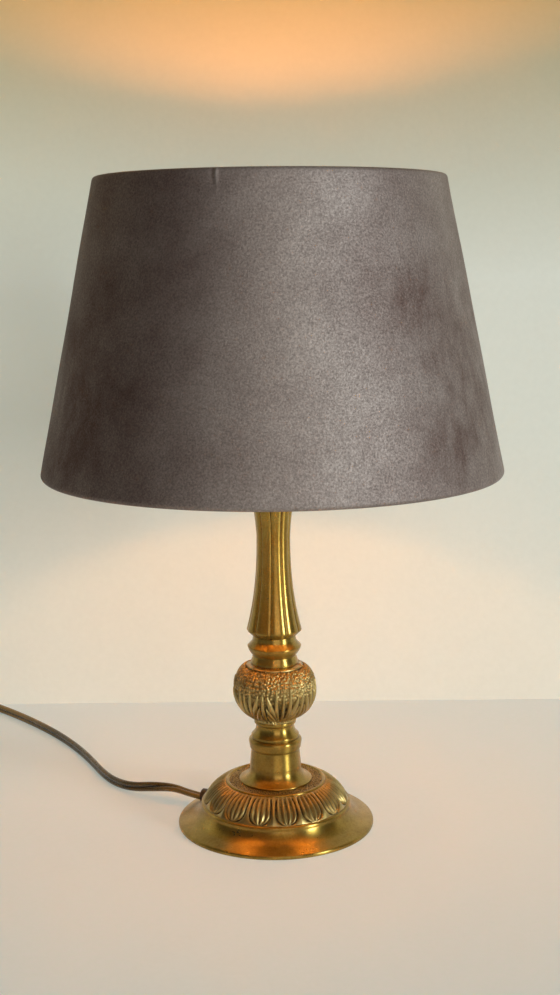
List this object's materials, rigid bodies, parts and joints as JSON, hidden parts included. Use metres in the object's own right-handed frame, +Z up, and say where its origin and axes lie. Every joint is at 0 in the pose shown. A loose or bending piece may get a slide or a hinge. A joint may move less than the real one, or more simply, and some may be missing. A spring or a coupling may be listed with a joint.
{
  "type": "table lamp",
  "caption": "Table lamp with a turned and cast metal stem on a round foot, a tapered fabric shade over a candle-shaped bulb, and a flex with an in-line switch and a plug.",
  "frame": {"origin": "centre of the foot's underside, on the surface the lamp stands on", "axes": "+Z up along the stem, -Y towards the front, +X to the right; the flex leaves the foot at the back left"},
  "size_m": [0.4121, 0.3383, 0.3567],
  "materials": {
    "brass": "aged cast and turned brass, dark in the recesses, polished on the rings",
    "felt": "dark green felt",
    "bush_plastic": "dark moulded bush",
    "steel": "zinc-plated steel",
    "holder_plastic": "dark moulded lampholder",
    "holder_core": "pale heat-resistant insulator",
    "contact_brass": "bright brass contacts",
    "lead_plastic": "single insulated leads",
    "bulb_metal": "plated bulb cap",
    "bulb_insulator": "black glass insulator",
    "bulb_glass": "clear glass",
    "filament": "warm lit filaments",
    "velvet": "mauve-grey brushed velvet",
    "lining": "cream stiff lining",
    "frame_wire": "white coated wire",
    "flex": "golden two-core flex",
    "switch_plastic": "brown moulded switch",
    "tie": "black plastic tie",
    "plug_plastic": "brown moulded plug",
    "plug_metal": "nickel-plated pins"
  },
  "bodies": {
    "lamp": {"foot": "brass", "lower_stem": "brass", "knop": "brass", "collar": "brass", "column": "brass", "pan": "brass", "felt_disc": "felt", "cord_bush": "bush_plastic", "clamp_plate": "steel", "washer": "steel", "tube_nut": "steel", "threaded_tube": "steel", "switch_pivot": "steel", "switch_screws": "steel", "holder_cap": "holder_plastic", "holder_skirt": "holder_plastic", "holder_core": "holder_core", "screw_shell": "contact_brass", "centre_contact": "contact_brass", "terminals": "contact_brass", "switch_contacts": "contact_brass", "lead_wires": "lead_plastic", "inner_flex": "flex", "flex_lead": "flex", "flex_tail": "flex", "flex_coil": "flex", "flex_end": "flex", "switch_base": "switch_plastic", "switch_cover": "switch_plastic", "coil_tie": "tie", "plug_body": "plug_plastic", "plug_relief": "plug_plastic", "pin_sleeves": "plug_plastic", "plug_pins": "plug_metal"},
    "shade": {"velvet_cover": "velvet", "shade_lining": "lining", "top_wire": "frame_wire", "bottom_wire": "frame_wire", "shade_arms": "frame_wire", "shade_fitter": "frame_wire"},
    "shade_ring": {"shade_ring": "holder_plastic"},
    "bulb": {"bulb_tip": "bulb_metal", "bulb_insulator": "bulb_insulator", "bulb_cap": "bulb_metal", "bulb_glass": "bulb_glass", "bulb_stem": "bulb_glass", "filaments": "filament"},
    "rocker": {"switch_rocker": "switch_plastic"}
  },
  "joints": [
    {"name": "shade_turn", "type": "hinge", "parent": "lamp", "child": "shade", "pos_m": [0, 0, 0.2457], "axis": [0, 0, 1], "continuous": true},
    {"name": "ring_turn", "type": "hinge", "parent": "lamp", "child": "shade_ring", "pos_m": [0, 0, 0.2471], "axis": [0, 0, 1], "continuous": true},
    {"name": "bulb_lift", "type": "slide", "parent": "lamp", "child": "bulb", "axis": [0, 0, 1], "range_m": [0, 0.12]},
    {"name": "rocker_tilt", "type": "hinge", "parent": "lamp", "child": "rocker", "pos_m": [-0.2665, 0.141, 0.0122], "axis": [1, 0, 0], "range_deg": [0, 14]}
  ]
}
